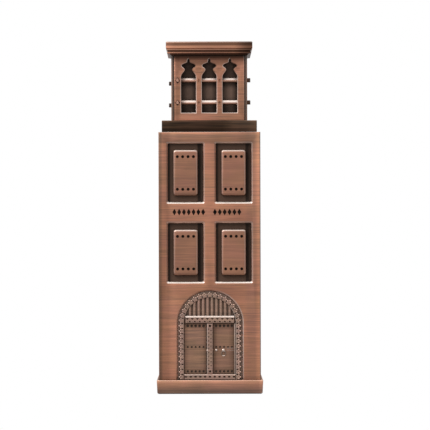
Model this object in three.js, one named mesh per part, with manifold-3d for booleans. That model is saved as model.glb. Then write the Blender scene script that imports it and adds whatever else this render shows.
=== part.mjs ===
// A souvenir bottle opener in the form of a square wind-tower house, in millimetres, +Z up.
// The front face looks along -Y. The origin is the middle of the foot of the plinth.
// The crown-cap mouth is under the plinth: the house is the handle.
//
// Pieces of one face are drawn on the front as u (right), v (up) and w (out from the axis),
// and a turn about Z carries them to the right, back and left faces.

import * as THREE from 'three';
import { mergeVertices } from 'three/addons/utils/BufferGeometryUtils.js';
import Module from 'manifold-3d';

const wasm = await Module();
wasm.setup();

// ---- driving dimensions ----

const gap = 0.05; // assembly clearance between neighbouring pieces
const past = 1; // how far a cutter runs past the face that it opens

const plinth = { half: 20, height: 5.2, corner: 0.8, edge: 0.2 };
const body = { half: 19.15, top: 98.4, wall: 3.2, corner: 0.4 };
const collar = { half: 17.9, top: 102.8 };
const tower = { half: 14.35, top: 127.4, plate: 1.05 };
const roof = { bead: 14.55, fillet: 15.85, fascia: 16.31, top: 132.6 };

const pocket = { width: 13.2, height: 21.95, depth: 1.7, rim: 0.5 };
const windowColumn = 9.03; // distance of a window's centre line from the middle
const windowRows = { upper: 83.1, lower: 53.15 };
const shutter = { width: 9.2, height: 17.2, corner: 0.7, edge: 0.5 };
const pit = { radius: 0.52, depth: 0.55, sides: 6 };
const shutterPits = { pitch: 2.02, columns: 4, rise: 6.12 };

const arch = { radius: 12.6, spring: 26.45, rim: 0.35 }; // the door niche
const band = { outer: 11.83, inner: 9.75, proud: 1.25 };
const transom = { half: 9.25, low: 26.5, high: 29.3, proud: 1.5 };
const sill = { high: 7.35, proud: 1.4 };
const post = { half: 1.13, proud: 1.35 };
const leaf = { inner: 1.2, outer: 9.65, proud: 0.7 };
const leafPits = { first: 2.38, pitch: 1.48, columns: 5, levels: [8.4, 17.6, 25.45], radius: 0.42 };
const fanlight = { back: 0.4, bar: 1, pitch: 1.66, bars: 10, proud: 1 };
const latchLevel = 16.4;

const opening = { pitch: 7.82, half: 2.9, low: 105.7, spring: 119.2 };
const pole = { offset: 11.94, halfDepth: 0.68, halfHeight: 0.8, stickOut: 1.2 };
const poleLevels = { upper: 118, lower: 109.6 };
const poleHole = { half: 0.95, halfHeight: 1.15 };
const corePocket = { half: 10.7, low: 105.1, high: 126.5, floor: 10.9 };
const coreHollow = { half: 6.4, top: 124.5 };

const clawPlate = { half: 16.5, low: 0.5, thick: 2, corner: 1.5 };
const mouth = { half: 14, front: 11, back: 11, corner: 7, tooth: 12, reach: 2.2 };
const mouthClear = { halfX: 14.6, halfY: 13.6, cut: 6.1 };
const plateScrew = { at: 13.2, head: 2.35, shank: 1.25, top: 11, cone: 1.1 };
const cornerBlock = { size: 5.4, height: 9 };
const rail = { length: 16, thick: 1.1, height: 1.1 };
const deck = { thick: 2.5 };
const stackScrew = { shank: 1.5, head: 2.8, headHeight: 2.1, top: 130.6 };
const washer = { radius: 3.6, thick: 0.5 };
const roofBoss = { radius: 3.5, low: 124.9 };
const clearanceHole = 1.7;

const bodyInner = body.half - body.wall;
const pocketFloor = body.half - pocket.depth;
const plateBack = tower.half - tower.plate;
const coreHalf = plateBack - gap;

// ---- materials ----

function metal(name, colour, roughness) {
  const material = new THREE.MeshStandardMaterial({ color: colour, roughness, metalness: 1 });
  material.name = name;
  return material;
}

const brushedCopper = metal('brushed_copper', 0xa8765c, 0.38);
const darkCopper = metal('dark_copper', 0x3e2f28, 0.55);
const reliefCopper = metal('relief_copper', 0x86695a, 0.45);
const steel = metal('opener_steel', 0xb4b4b0, 0.3);

// ---- solids ----

function toSolid(geometry) {
  const bare = geometry.index ? geometry.toNonIndexed() : geometry.clone();
  bare.deleteAttribute('normal');
  bare.deleteAttribute('uv');
  const merged = mergeVertices(bare, 1e-4);
  return new wasm.Manifold(new wasm.Mesh({
    numProp: 3,
    vertProperties: merged.attributes.position.array,
    triVerts: new Uint32Array(merged.index.array),
  }));
}

function toGeometry(solid) {
  const mesh = solid.getMesh();
  const geometry = new THREE.BufferGeometry();
  geometry.setAttribute('position', new THREE.BufferAttribute(mesh.vertProperties, 3));
  geometry.setIndex(new THREE.BufferAttribute(mesh.triVerts, 1));
  geometry.computeVertexNormals();
  return geometry;
}

function cut(solid, cutters) {
  return cutters.reduce((left, cutter) => left.subtract(cutter), solid);
}

function join(solids) {
  return solids.reduce((whole, next) => whole.add(next));
}

// A block between two corners.
function block(low, high) {
  const size = high.map((value, i) => value - low[i]);
  const geometry = new THREE.BoxGeometry(...size);
  geometry.translate(...low.map((value, i) => value + size[i] / 2));
  return toSolid(geometry);
}

// An upright cylinder, or a cone where the two radii differ.
function upright(x, y, lowRadius, highRadius, low, high, sides = 16) {
  const geometry = new THREE.CylinderGeometry(highRadius, lowRadius, high - low, sides);
  geometry.rotateX(Math.PI / 2);
  geometry.translate(x, y, (low + high) / 2);
  return toSolid(geometry);
}

// A flat shape in plan, standing from low to high, with an optional chamfer at both ends.
function planPrism(shape, low, high, edge = 0, curveSegments = 12) {
  const geometry = new THREE.ExtrudeGeometry(shape, extrusion(high - low, edge, -edge, curveSegments));
  geometry.translate(0, 0, low + edge);
  return toSolid(geometry);
}

// A flat shape on the front face, from one distance off the axis to another.
function facePrism(shape, inside, outside, edge = 0, curveSegments = 12) {
  const geometry = new THREE.ExtrudeGeometry(shape, extrusion(outside - inside, edge, -edge, curveSegments));
  geometry.translate(0, 0, inside + edge);
  geometry.rotateX(Math.PI / 2);
  return toSolid(geometry);
}

function extrusion(thickness, edge, offset, curveSegments) {
  return {
    depth: thickness - 2 * edge,
    bevelEnabled: edge > 0,
    bevelThickness: edge,
    bevelSize: edge,
    bevelOffset: offset,
    bevelSegments: 1,
    curveSegments,
  };
}

// The cutters of a pocket in the front face: its straight walls, and a rim that flares to the face.
function pocketCutters(shape, floor, face, rim, curveSegments = 12) {
  const straight = facePrism(shape, floor, face + past, 0, curveSegments);
  const flare = new THREE.ExtrudeGeometry(shape, extrusion(past + 2 * rim, rim, 0, curveSegments));
  flare.translate(0, 0, face);
  flare.rotateX(Math.PI / 2);
  return [straight, toSolid(flare)];
}

// ---- outlines ----

function outline(points) {
  return new THREE.Shape(points.map(([x, y]) => new THREE.Vector2(x, y)));
}

function rectangle(x, y, halfWidth, halfHeight) {
  return outline([
    [x - halfWidth, y - halfHeight],
    [x + halfWidth, y - halfHeight],
    [x + halfWidth, y + halfHeight],
    [x - halfWidth, y + halfHeight],
  ]);
}

function roundedRectangle(x, y, halfWidth, halfHeight, radius) {
  const shape = new THREE.Shape();
  const corner = (sx, sy, start) => shape.absarc(
    x + sx * (halfWidth - radius), y + sy * (halfHeight - radius), radius, start, start + Math.PI / 2, false);
  corner(1, -1, -Math.PI / 2);
  corner(1, 1, 0);
  corner(-1, 1, Math.PI / 2);
  corner(-1, -1, Math.PI);
  shape.closePath();
  return shape;
}

function rhombus(x, y, halfWidth, halfHeight) {
  return outline([[x, y - halfHeight], [x + halfWidth, y], [x, y + halfHeight], [x - halfWidth, y]]);
}

// A round-headed doorway from a floor level up to its crown.
function doorway(radius, spring, low) {
  const shape = new THREE.Shape();
  shape.moveTo(-radius, low);
  shape.lineTo(radius, low);
  shape.absarc(0, spring, radius, 0, Math.PI, false);
  shape.closePath();
  return shape;
}

// One lobed window light: straight jambs, a waist, two lobes and a narrow finial slot.
function windowLight(centre) {
  const { half, low, spring } = opening;
  const side = new THREE.Path();
  side.moveTo(half, low);
  side.lineTo(half, spring);
  side.quadraticCurveTo(0.97 * half, spring + 1, 0.7 * half, spring + 1.8);
  side.quadraticCurveTo(0.5 * half, spring + 2.4, 0.5 * half, spring + 3);
  side.quadraticCurveTo(0.55 * half, spring + 3.5, 0.84 * half, spring + 4);
  side.quadraticCurveTo(1 * half, spring + 4.5, 0.78 * half, spring + 4.9);
  side.quadraticCurveTo(0.5 * half, spring + 5.3, 0.22 * half, spring + 5.5);
  side.quadraticCurveTo(0.14 * half, spring + 6, 0.14 * half, spring + 6.6);
  side.lineTo(0, spring + 6.9);
  const right = side.getPoints(2);
  const left = right.slice(0, -1).reverse().map((p) => new THREE.Vector2(-p.x, p.y));
  return new THREE.Shape([...right, ...left].map((p) => new THREE.Vector2(p.x + centre, p.y)));
}

// ---- plinth, opener plate and its screws ----

const screwCorners = [[1, 1], [-1, 1], [-1, -1], [1, -1]];

function plinthSolid() {
  const { half, height, corner, edge } = plinth;
  const seat = clawPlate.half + 2 * gap;
  const ledge = clawPlate.low + clawPlate.thick + gap;
  const { halfX, halfY, cut: corners } = mouthClear;
  const throat = outline([
    [halfX - corners, -halfY], [halfX, -halfY + corners],
    [halfX, halfY - corners], [halfX - corners, halfY],
    [-halfX + corners, halfY], [-halfX, halfY - corners],
    [-halfX, -halfY + corners], [-halfX + corners, -halfY],
  ]);
  const rails = [0, 1, 2, 3].map((quarter) => block(
    [-rail.length / 2, -(bodyInner - gap), height - gap],
    [rail.length / 2, -(bodyInner - gap - rail.thick), height + rail.height],
  ).rotate([0, 0, 90 * quarter]));
  return cut(join([planPrism(roundedRectangle(0, 0, half, half, corner), 0, height, edge, 3), ...rails]), [
    planPrism(roundedRectangle(0, 0, seat, seat, clawPlate.corner + 2 * gap), -past, ledge, 0, 4),
    planPrism(throat, 0, height + past),
    ...screwCorners.map(([x, y]) => upright(x * plateScrew.at, y * plateScrew.at,
      plateScrew.shank + 2 * gap, plateScrew.shank + 2 * gap, 0, height + past)),
  ]);
}

// The mouth seen from below: a rounded opening whose back edge has the lifting tooth.
function mouthOutline() {
  const { half, front, back, corner, tooth, reach } = mouth;
  const shape = new THREE.Shape();
  shape.moveTo(-half, -front + corner);
  shape.absarc(-half + corner, -front + corner, corner, Math.PI, 1.5 * Math.PI, false);
  shape.absarc(half - corner, -front + corner, corner, -Math.PI / 2, 0, false);
  shape.absarc(half - corner, back - corner, corner, 0, Math.PI / 2, false);
  shape.lineTo(tooth / 2 + 0.8, back);
  shape.quadraticCurveTo(tooth / 2, back, tooth / 2 - 0.5, back - reach + 0.5);
  shape.quadraticCurveTo(0, back - reach - 0.5, -tooth / 2 + 0.5, back - reach + 0.5);
  shape.quadraticCurveTo(-tooth / 2, back, -tooth / 2 - 0.8, back);
  shape.absarc(-half + corner, back - corner, corner, Math.PI / 2, Math.PI, false);
  shape.closePath();
  return shape;
}

function clawPlateSolid() {
  const { half, low, thick, corner } = clawPlate;
  const { at, head, shank, cone } = plateScrew;
  const plate = planPrism(roundedRectangle(0, 0, half, half, corner), low, low + thick, 0, 4);
  return cut(plate, [
    planPrism(mouthOutline(), low - past, low + thick + past, 0, 6),
    ...screwCorners.flatMap(([x, y]) => [
      upright(x * at, y * at, shank + 2 * gap, shank + 2 * gap, low - past, low + thick + past),
      upright(x * at, y * at, head + 2 * gap + past, shank + 2 * gap, low - past, low + cone + gap),
    ]),
  ]);
}

function plateScrewSolid() {
  const { head, shank, top, cone } = plateScrew;
  const low = clawPlate.low + gap;
  const slot = block([-head, -0.35, low - past], [head, 0.35, low + 0.6]);
  return join([
    upright(0, 0, head, shank, low, low + cone),
    upright(0, 0, shank, shank, low + cone - gap, top),
  ]).subtract(slot);
}

function cornerBlockSolid() {
  const { size, height } = cornerBlock;
  const low = plinth.height + 2 * gap;
  const toCorner = bodyInner - gap - plateScrew.at;
  const hole = upright(0, 0, plateScrew.shank + gap, plateScrew.shank + gap, low - past, low + height - 1.5);
  return block([toCorner - size, toCorner - size, low], [toCorner, toCorner, low + height]).subtract(hole);
}

// ---- body ----

function wallSolid(side) {
  const { half, top, corner } = body;
  const inner = bodyInner;
  const low = plinth.height + gap;
  const plan = outline([
    [-inner + gap, -inner], [-half + corner / 2 + gap, -half + corner / 2], [-half + corner, -half],
    [half - corner, -half], [half - corner / 2 - gap, -half + corner / 2], [inner - gap, -inner],
  ]);
  const cutters = [];
  for (const level of Object.values(windowRows)) {
    for (const column of [-windowColumn, windowColumn]) {
      const recess = rectangle(column, level, pocket.width / 2, pocket.height / 2);
      cutters.push(...pocketCutters(recess, pocketFloor, half, pocket.rim));
    }
  }
  if (side === 'front') {
    const niche = doorway(arch.radius, arch.spring, low - past);
    cutters.push(...pocketCutters(niche, pocketFloor, half, arch.rim, 16));
  }
  return cut(planPrism(plan, low, top), cutters);
}

function shutterSolid() {
  const { width, height, corner, edge } = shutter;
  const { pitch, columns, rise } = shutterPits;
  const slab = facePrism(roundedRectangle(0, 0, width / 2, height / 2, corner),
    pocketFloor + gap, body.half, edge, 1);
  const pits = [];
  for (const row of [-rise, rise]) {
    for (let i = 0; i < columns; i++) {
      pits.push(pitCutter((i - (columns - 1) / 2) * pitch, row, body.half, pit.radius));
    }
  }
  return cut(slab, pits);
}

function pitCutter(u, v, face, radius) {
  const geometry = new THREE.CylinderGeometry(radius, radius, pit.depth + past, pit.sides);
  geometry.translate(u, -(face - pit.depth / 2 + past / 2), v);
  return toSolid(geometry);
}

function deckSolid() {
  const half = bodyInner - gap;
  const low = body.top - deck.thick;
  return block([-half, -half, low], [half, half, body.top])
    .subtract(upright(0, 0, clearanceHole, clearanceHole, low - past, body.top + past));
}

// ---- door, standing on the floor of its niche ----

const nicheFace = pocketFloor + gap;

function archBandSolid() {
  const low = plinth.height + 2 * gap;
  const outer = facePrism(doorway(band.outer, arch.spring, low), nicheFace, nicheFace + band.proud, 0, 20);
  return outer.subtract(facePrism(doorway(band.inner, arch.spring, low - past),
    nicheFace - past, nicheFace + band.proud + past, 0, 16));
}

function fanlightSolid() {
  const reach = band.inner - gap;
  const base = transom.high + gap;
  const start = Math.asin((base - arch.spring) / reach);
  const segment = new THREE.Shape().absarc(0, arch.spring, reach, start, Math.PI - start, false);
  segment.closePath();
  const back = facePrism(segment, nicheFace, nicheFace + fanlight.back, 0, 14);
  const inside = facePrism(segment, nicheFace, nicheFace + fanlight.proud, 0, 14);
  const bars = [];
  for (let i = 0; i < fanlight.bars; i++) {
    const u = (i - (fanlight.bars - 1) / 2) * fanlight.pitch;
    bars.push(facePrism(rectangle(u, base + reach / 2, fanlight.bar / 2, reach / 2),
      nicheFace, nicheFace + fanlight.proud));
  }
  return back.add(join(bars).intersect(inside));
}

function doorLeafSolid(hand) {
  const { inner, outer, proud } = leaf;
  const low = sill.high + gap;
  const high = transom.low - gap;
  const face = nicheFace + proud;
  const middle = hand * (inner + outer) / 2;
  const board = rectangle(middle, (low + high) / 2, (outer - inner) / 2, (high - low) / 2);
  const pits = leafPits.levels.flatMap((level) => Array.from({ length: leafPits.columns }, (_, i) => (
    pitCutter(hand * (leafPits.first + i * leafPits.pitch), level, face, leafPits.radius))));
  return cut(facePrism(board, nicheFace, face), pits);
}

// A straight chamfered moulding, as wide to the left as to the right.
function doorBar(half, low, high, proud) {
  const bar = rectangle(0, (low + high) / 2, half, (high - low) / 2);
  return facePrism(bar, nicheFace, nicheFace + proud, 0.15);
}

// A ring hanging from a stud on the right-hand leaf.
function pullRingSolid() {
  const face = nicheFace + leaf.proud + gap;
  const ring = new THREE.TorusGeometry(0.95, 0.22, 6, 16);
  ring.rotateX(Math.PI / 2);
  ring.translate(0, -(face + 0.3), -1.25);
  const stud = new THREE.SphereGeometry(0.6, 10, 6);
  stud.translate(0, -(face + 0.6), 0);
  return toSolid(ring).add(toSolid(stud));
}

function studSolid(face, radius) {
  const stud = new THREE.SphereGeometry(radius, 10, 6);
  stud.translate(0, -(face + radius), 0);
  return toSolid(stud);
}

// ---- collar, tower and roof ----

function collarSolid() {
  const { half, top } = collar;
  const low = body.top + gap;
  const spigot = coreHollow.half - 2 * gap;
  return join([
    block([-half, -half, low], [half, half, top]),
    block([-spigot, -spigot, top - gap], [spigot, spigot, top + 1.5]),
  ]).subtract(upright(0, 0, clearanceHole, clearanceHole, low - past, top + 2 * past));
}

function towerCoreSolid() {
  const low = collar.top + gap;
  const high = tower.top - gap;
  const { half, low: sillLevel, high: headLevel, floor } = corePocket;
  const hollow = coreHollow.half;
  const cutters = [
    block([-hollow, -hollow, low - past], [hollow, hollow, coreHollow.top]),
    upright(0, 0, roofBoss.radius + 2 * gap, roofBoss.radius + 2 * gap, coreHollow.top - past, high + past),
  ];
  for (let quarter = 0; quarter < 4; quarter++) {
    const turn = [0, 0, 90 * quarter];
    const middle = (sillLevel + headLevel) / 2;
    const recess = rectangle(0, middle, half, headLevel - middle);
    cutters.push(facePrism(recess, floor, coreHalf + past).rotate(turn));
    for (const level of Object.values(poleLevels)) {
      cutters.push(polePrism(half - past, coreHalf + past, level, gap).rotate(turn));
    }
  }
  return cut(block([-coreHalf, -coreHalf, low], [coreHalf, coreHalf, high]), cutters);
}

// A four-sided pole across the front of the tower, standing on its edge.
function polePrism(left, right, level, room) {
  const geometry = new THREE.ExtrudeGeometry(
    rhombus(0, 0, pole.halfDepth + room, pole.halfHeight + room), extrusion(right - left, 0, 0, 1));
  geometry.rotateX(Math.PI / 2);
  geometry.rotateZ(Math.PI / 2);
  geometry.translate(left, -pole.offset, level);
  return toSolid(geometry);
}

function latticeSolid() {
  const low = collar.top + gap;
  const plate = rectangle(0, (low + tower.top) / 2, plateBack - gap, (tower.top - low) / 2);
  const { half, halfHeight } = poleHole;
  const openings = [
    ...[-1, 0, 1].map((column) => windowLight(column * opening.pitch)),
    ...Object.values(poleLevels).map((level) => rhombus(-pole.offset, level, half, halfHeight)),
  ];
  return cut(facePrism(plate, plateBack, tower.half),
    openings.map((shape) => facePrism(shape, plateBack - past, tower.half + past)));
}

// The roof is a square turned about Z: its cornice profile steps out from the tower to the fascia.
function roofSolid() {
  const low = tower.top + gap;
  const { bead, fillet, fascia, top } = roof;
  const profile = [
    [0, low], [bead, low], [bead + 0.1, low + 0.15], [fillet - 0.2, low + 0.75], [fillet, low + 0.95],
    [fillet, low + 1.4], [fillet + 0.1, low + 2.2], [fillet + 0.2, low + 2.6], [fascia, low + 2.75],
    [fascia, top - 0.2], [fascia - 0.2, top],
    [fascia - 2.2, top], [fascia - 2.4, top - 0.6], [0, top - 0.6],
  ].map(([half, level]) => new THREE.Vector2(half * Math.SQRT2, level));
  const cornice = new THREE.LatheGeometry(profile, 4, Math.PI / 4);
  cornice.rotateX(Math.PI / 2);
  const thread = stackScrew.shank + gap;
  return join([toSolid(cornice), upright(0, 0, roofBoss.radius, roofBoss.radius, roofBoss.low, low + gap)])
    .subtract(upright(0, 0, thread, thread, roofBoss.low - past, stackScrew.top + gap));
}

function stackScrewSolid() {
  const { shank, head, headHeight, top } = stackScrew;
  const seat = body.top - deck.thick - washer.thick - 2 * gap;
  const screw = join([
    upright(0, 0, head * 0.85, head, seat - headHeight, seat),
    upright(0, 0, shank, shank, seat - gap, top),
  ]);
  return screw.subtract(block([-head, -0.4, seat - headHeight - past], [head, 0.4, seat - headHeight + 1]));
}

function washerSolid() {
  const high = body.top - deck.thick - gap;
  const low = high - washer.thick;
  return upright(0, 0, washer.radius, washer.radius, low, high)
    .subtract(upright(0, 0, clearanceHole, clearanceHole, low - past, high + past));
}

// ---- assembly ----

const house = new THREE.Group();

function add(name, solid, material, position = [0, 0, 0], parent = house) {
  const mesh = new THREE.Mesh(toGeometry(solid), material);
  mesh.name = name;
  mesh.position.set(...position);
  parent.add(mesh);
  return mesh;
}

add('plinth', plinthSolid(), brushedCopper);
add('opener_plate', clawPlateSolid(), steel);
screwCorners.forEach(([x, y], i) => {
  const at = plateScrew.at;
  add(`plate_screw_${i + 1}`, plateScrewSolid(), steel, [x * at, y * at, 0]);
  const corner = add(`corner_block_${i + 1}`, cornerBlockSolid(), darkCopper, [x * at, y * at, 0]);
  corner.rotation.z = i * Math.PI / 2;
});

add('body_deck', deckSolid(), darkCopper);
add('collar', collarSolid(), darkCopper);
add('tower_core', towerCoreSolid(), darkCopper);
add('roof_cornice', roofSolid(), brushedCopper);
add('stack_screw', stackScrewSolid(), steel);
add('stack_washer', washerSolid(), steel);

['front', 'right', 'back', 'left'].forEach((side, quarter) => {
  const face = new THREE.Group();
  face.rotation.z = quarter * Math.PI / 2;
  house.add(face);
  add(`wall_${side}`, wallSolid(side), brushedCopper, [0, 0, 0], face);
  for (const [row, level] of Object.entries(windowRows)) {
    add(`shutter_${side}_${row}_left`, shutterSolid(), brushedCopper, [-windowColumn, 0, level], face);
    add(`shutter_${side}_${row}_right`, shutterSolid(), brushedCopper, [windowColumn, 0, level], face);
  }
  add(`lattice_${side}`, latticeSolid(), brushedCopper, [0, 0, 0], face);
  for (const [row, level] of Object.entries(poleLevels)) {
    const solid = polePrism(-corePocket.half + gap, tower.half + pole.stickOut, level, 0);
    add(`pole_${side}_${row}`, solid, brushedCopper, [0, 0, 0], face);
  }
});

add('arch_band', archBandSolid(), reliefCopper);
add('fanlight', fanlightSolid(), reliefCopper);
add('door_transom', doorBar(transom.half, transom.low, transom.high, transom.proud), reliefCopper);
add('door_sill', doorBar(leaf.outer, plinth.height + 2 * gap, sill.high, sill.proud), reliefCopper);
add('door_post', doorBar(post.half, sill.high + gap, transom.low - gap, post.proud), reliefCopper);
add('door_leaf_left', doorLeafSolid(-1), reliefCopper);
add('door_leaf_right', doorLeafSolid(1), reliefCopper);
add('door_pull_ring', pullRingSolid(), reliefCopper, [5, 0, latchLevel]);
add('latch_stud', studSolid(nicheFace + leaf.proud + gap, 0.5), reliefCopper, [2.4, 0, latchLevel]);

export default house;
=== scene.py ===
import math

import bmesh
import bpy
from mathutils import Matrix, Vector


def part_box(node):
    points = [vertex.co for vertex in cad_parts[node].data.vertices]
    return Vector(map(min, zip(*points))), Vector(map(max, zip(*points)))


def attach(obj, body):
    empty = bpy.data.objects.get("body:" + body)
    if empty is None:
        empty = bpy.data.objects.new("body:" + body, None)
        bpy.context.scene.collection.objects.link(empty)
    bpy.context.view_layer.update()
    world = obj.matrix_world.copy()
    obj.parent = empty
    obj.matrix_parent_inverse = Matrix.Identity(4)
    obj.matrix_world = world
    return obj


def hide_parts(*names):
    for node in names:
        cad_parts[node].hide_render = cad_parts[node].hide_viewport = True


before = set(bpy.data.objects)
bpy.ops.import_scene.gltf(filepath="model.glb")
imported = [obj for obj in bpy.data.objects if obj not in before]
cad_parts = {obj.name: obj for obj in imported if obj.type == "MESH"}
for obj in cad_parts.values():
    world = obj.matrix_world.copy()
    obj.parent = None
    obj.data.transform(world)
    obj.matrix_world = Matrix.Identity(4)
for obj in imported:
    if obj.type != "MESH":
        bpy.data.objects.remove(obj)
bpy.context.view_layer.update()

# Sizes are in millimetres and turned into metres as a mesh is made.
# A face of the house is worked as u across, v up and w out from the axis. The front looks along -Y.

mm = 0.001
sides = ["front", "right", "back", "left"]
gap = 0.05  # joint line between neighbouring castings
faceOn, slanted = 0.985, 0.12  # how squarely a face looks outwards to count as flat, and as an edge

low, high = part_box("wall_front")
house = {
    "half": -low.y / mm,
    "foot": low.z / mm,
    "top": high.z / mm,
    "wall": (high.y - low.y) / mm,
}


class Signal:
    # an output socket; sums and products on it become Math nodes
    def __init__(self, board, socket):
        self.board = board
        self.socket = socket

    def math(self, operation, first, second, clamp=False):
        return self.board.node("ShaderNodeMath", {"operation": operation, "use_clamp": clamp},
                               {0: first, 1: second})

    def __add__(self, other):
        return self.math("ADD", self, other)

    def __sub__(self, other):
        return self.math("SUBTRACT", self, other)

    def __rsub__(self, other):
        return self.math("SUBTRACT", other, self)

    def __mul__(self, other):
        return self.math("MULTIPLY", self, other)

    __radd__ = __add__
    __rmul__ = __mul__

    def clamped(self):
        return self.math("ADD", self, 0.0, clamp=True)


class Board:
    # the node tree of one material or of the world
    def __init__(self, owner):
        owner.use_nodes = True
        self.tree = owner.node_tree
        self.tree.nodes.clear()

    def node(self, kind, settings=None, inputs=None, output=0):
        made = self.tree.nodes.new(kind)
        for key, value in (settings or {}).items():
            if key == "stops":
                ramp = made.color_ramp.elements
                while len(ramp) < len(value):
                    ramp.new(0.5)
                for stop, (place, colour) in zip(ramp, value):
                    stop.position = place
                    stop.color = colour
            else:
                setattr(made, key, value)
        for key, value in (inputs or {}).items():
            if isinstance(value, Signal):
                self.tree.links.new(value.socket, made.inputs[key])
            else:
                made.inputs[key].default_value = value
        return Signal(self, made.outputs[output]) if made.outputs else made

    def mix(self, factor, first, second, blend="MIX"):
        return self.node("ShaderNodeMix", {"data_type": "RGBA", "blend_type": blend},
                         {0: factor, 6: first, 7: second}, output=2)

    def noise(self, stretch, detail=3.0, roughness=0.55, distortion=0.0):
        place = self.node("ShaderNodeTexCoord", output=3)
        stretched = self.node("ShaderNodeVectorMath", {"operation": "MULTIPLY"}, {0: place, 1: stretch})
        return self.node("ShaderNodeTexNoise", {}, {"Vector": stretched, "Scale": 1.0, "Detail": detail,
                         "Roughness": roughness, "Distortion": distortion})

    def openness(self, reach):
        # 1 on open metal, less where a corner is nearer than the reach
        return self.node("ShaderNodeAmbientOcclusion", {"samples": 12}, {"Distance": reach}, output=1)

    def tinted(self, first, second):
        return self.mix(1.0, first, second, blend="MULTIPLY")

    def profile(self, value, stops):
        # a level that runs through (place, level) stops; a level may be a number or (red, green, blue)
        first, last = stops[0][0], stops[-1][0]
        tints = [level if isinstance(level, tuple) else (level, level, level) for place, level in stops]
        top = max(max(tint) for tint in tints)
        ramp = [((place - first) / (last - first), (*(part / top for part in tint), 1))
                for (place, level), tint in zip(stops, tints)]
        along = self.node("ShaderNodeMapRange", {}, {0: value, 1: first, 2: last, 3: 0.0, 4: 1.0})
        return self.tinted(self.node("ShaderNodeValToRGB", {"stops": ramp}, {0: along}), grey(top))

    def graded(self, skin, look, across, up):
        # the skin after the painted light and shade of a look's tone profiles, where it has them
        for value, stops in ((across, look[0]), (up, look[1])):
            if stops:
                skin = self.tinted(skin, self.profile(value, stops))
        return skin

    def around(self):
        # for a piece round the axis: place across its side, height, and distance from the axis, in mm
        place = self.node("ShaderNodeTexCoord", output=3)
        x, y, z = (self.node("ShaderNodeSeparateXYZ", {}, {0: place}, output=i) * (1 / mm) for i in range(3))
        wide, deep = x.math("ABSOLUTE", x, 0.0), y.math("ABSOLUTE", y, 0.0)
        facing = deep.math("GREATER_THAN", deep, wide)
        across = y * x.math("SIGN", x, 0.0) * (1.0 - facing) - x * y.math("SIGN", y, 0.0) * facing
        return across, z, x.math("MAXIMUM", wide, deep)

    def spread(self, value, low, high):
        # runs value from 0 to 1 between two levels, with soft ends
        return self.node("ShaderNodeMapRange", {"interpolation_type": "SMOOTHSTEP"},
                         {0: value, 1: low, 2: high, 3: 0.0, 4: 1.0})


def colour(red, green, blue):
    return (red, green, blue, 1.0)


def grey(level):
    return colour(level, level, level)


def shades(red, green, blue, swing=0.22):
    # the metal as the brush left it: lighter and darker strokes round one colour
    return {"mid": colour(red, green, blue),
            "bright": colour(red * (1 + swing), green * (1 + swing * 0.85), blue * (1 + swing * 0.75)),
            "brown": colour(red * (1 - swing), green * (1 - swing * 0.8), blue * (1 - swing * 0.6))}


copperLook = dict(
    shades(0.58, 0.268, 0.168),
    oxide=colour(0.056, 0.033, 0.023),
    tints=(colour(0.975, 1.0, 0.965), colour(1.02, 0.995, 1.03)),
    sootAndShadeTone=0.16,  # how much of the oxide's colour is left deep in pits and corners: soot together with painted shade
    worn=colour(0.98, 0.87, 0.79),  # polished through on edges, and the painted highlight where an edge faces the light
    roughness=0.36,
    oxideRoughness=0.55,
    grainDepth=0.000010,
    grain={"brush": (26, 26, 1150), "hair": (90, 90, 3000), "cloud": (70, 70, 60), "hue": (120, 120, 170),
           "speck": (1900, 1900, 1900)},
    cavity=0.0009,  # how far the dark patina and a painted corner shade creep out of a corner
    cavityStrength=0.9,
    across=None,  # painted light and shade from side to side of a face, as (mm, level) stops
    up=None,  # painted light and shade from low to high
    # the same painted light and shade on the oxide, across and up
    oxideLightShadeAcross=None,
    oxideLightShadeUp=None,
    recess=None)  # distances from the axis between which the metal goes from dark to bare

wallLook = dict(
    copperLook, oxide=colour(0.062, 0.036, 0.025),
    # painted light and shade across the face: darker at the left edge, lighter at the right edge
    across=(
        (-19.1, (0.37, 0.45, 0.47)), (-18.3, (0.47, 0.54, 0.56)), (-17.6, 0.78), (-15.6, 0.86),
        (-14.6, 1.05), (-13.6, 1.12), (-11.5, 1.06), (0.0, 1.0), (4.0, 0.94), (13.0, 0.89),
        (14.4, (0.8, 0.83, 0.87)), (17.0, (0.82, 0.86, 0.9)), (18.2, (1.16, 1.15, 1.1)),
        (19.1, (1.12, 1.15, 1.15))),
    # painted light and shade up the face: darker under the lower windows, along the band and under the collar
    up=(
        (5.2, 0.92), (9.0, 1.04), (28.0, 1.09), (36.0, 1.04), (37.8, 0.93), (41.0, 0.9), (42.4, 1.0),
        (64.0, 1.0), (66.0, 0.94), (71.0, 0.94), (73.0, 1.0), (93.6, 1.0), (94.6, (0.78, 0.85, 0.88)),
        (97.4, (0.72, 0.81, 0.85)), (98.0, 1.0), (98.4, 1.2)),
    # painted shadows on the floors of the recesses: along the left walls and beside the shutters
    oxideLightShadeAcross=(
        (-15.6, 0.35), (-15.0, 0.62), (-14.6, 1.5), (-13.6, 1.7), (-4.7, 1.6), (-4.3, 0.4),
        (-3.4, 0.4), (-3.0, 0.95), (-2.4, 0.85), (2.4, 0.35), (3.0, 0.6), (3.5, 1.5), (4.4, 1.7),
        (13.4, 1.5), (13.7, 0.4), (14.6, 0.4), (15.0, 0.9), (15.6, 0.75)),
    # painted light on the floor of the door niche, and painted shade under the top walls of the recesses
    oxideLightShadeUp=(
        (5.0, 1.6), (7.5, 2.6), (10.0, 4.6), (37.5, 4.6), (40.0, 0.9), (43.5, 1.0), (62.5, 0.95),
        (63.7, 0.75), (67.0, 0.5), (72.0, 0.9), (73.5, 1.0), (92.5, 0.95), (93.7, 0.75), (94.2, 0.7)))

shutterLook = dict(copperLook, **shades(0.415, 0.202, 0.133, 0.17))

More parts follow.
